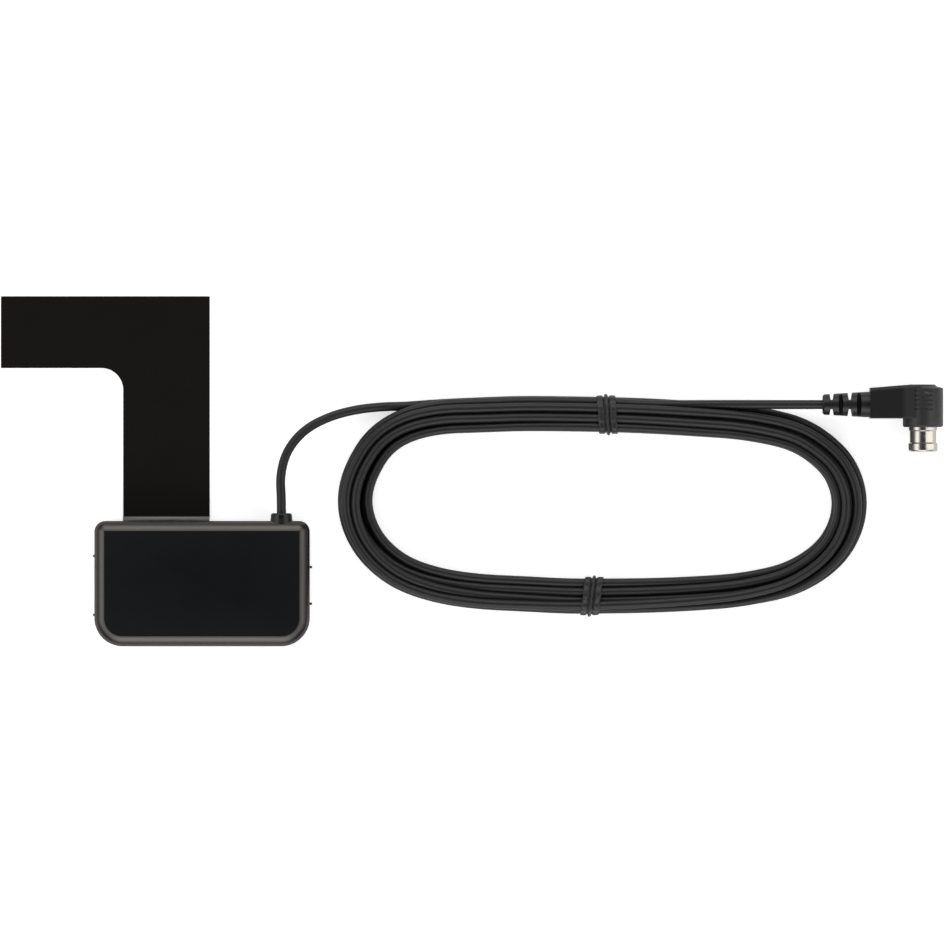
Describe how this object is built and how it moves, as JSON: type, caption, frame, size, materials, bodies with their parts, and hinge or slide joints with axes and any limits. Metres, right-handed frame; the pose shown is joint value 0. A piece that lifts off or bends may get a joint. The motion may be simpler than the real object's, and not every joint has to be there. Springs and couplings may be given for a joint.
{
  "type": "windscreen dab antenna",
  "caption": "Adhesive windscreen antenna: L-shaped film folded into a flat amplifier box, with a thin coaxial cable in a tied hank and a right-angle push-on plug.",
  "frame": {"origin": "middle of the adhesive face under the amplifier box", "axes": "+Z away from the glass, +Y from the box towards the film, +X towards the cable hank and plug"},
  "size_m": [0.2544, 0.0945, 0.0109],
  "materials": {
    "cover_plastic": "fine matt moulded black, smoother on the rim",
    "film_print": "glossy brown-black printed film",
    "foam_tape": "matt dark foam with adhesive",
    "board_laminate": "green solder mask",
    "chip_resin": "matt black resin",
    "ceramic_chip": "fired ceramic with tinned ends",
    "ferrite": "ferrite drum with enamelled winding",
    "contact_metal": "sprung bronze",
    "soft_black": "soft moulded black",
    "cable_jacket": "satin black cable jacket",
    "shield_braid": "tinned copper braid",
    "insulation": "natural white insulation",
    "copper_core": "bare copper",
    "tie_plastic": "black plastic strip over wire",
    "plug_plastic": "satin moulded black",
    "nickel": "bright nickel plate",
    "white_insulator": "white insulator"
  },
  "bodies": {
    "root": {"front_cover": "cover_plastic", "back_cover": "cover_plastic", "mounting_tape": "foam_tape", "circuit_board": "board_laminate", "amplifier_chip": "chip_resin", "chip_capacitors": "ceramic_chip", "chip_resistors": "chip_resin", "filter_coils": "ferrite", "feed_contact": "contact_metal", "antenna_film": "film_print", "cable_grommet": "soft_black", "cable_end": "cable_jacket", "cable_shield": "shield_braid", "cable_insulation": "insulation", "cable_conductor": "copper_core", "cable_lead": "cable_jacket", "cable_hank": "cable_jacket", "cable_tail": "cable_jacket", "upper_tie": "tie_plastic", "lower_tie": "tie_plastic", "plug_boot": "soft_black", "plug_elbow": "plug_plastic", "plug_barrel": "nickel", "plug_collet": "nickel", "plug_insulator": "white_insulator", "plug_contact": "contact_metal"}
  },
  "joints": []
}
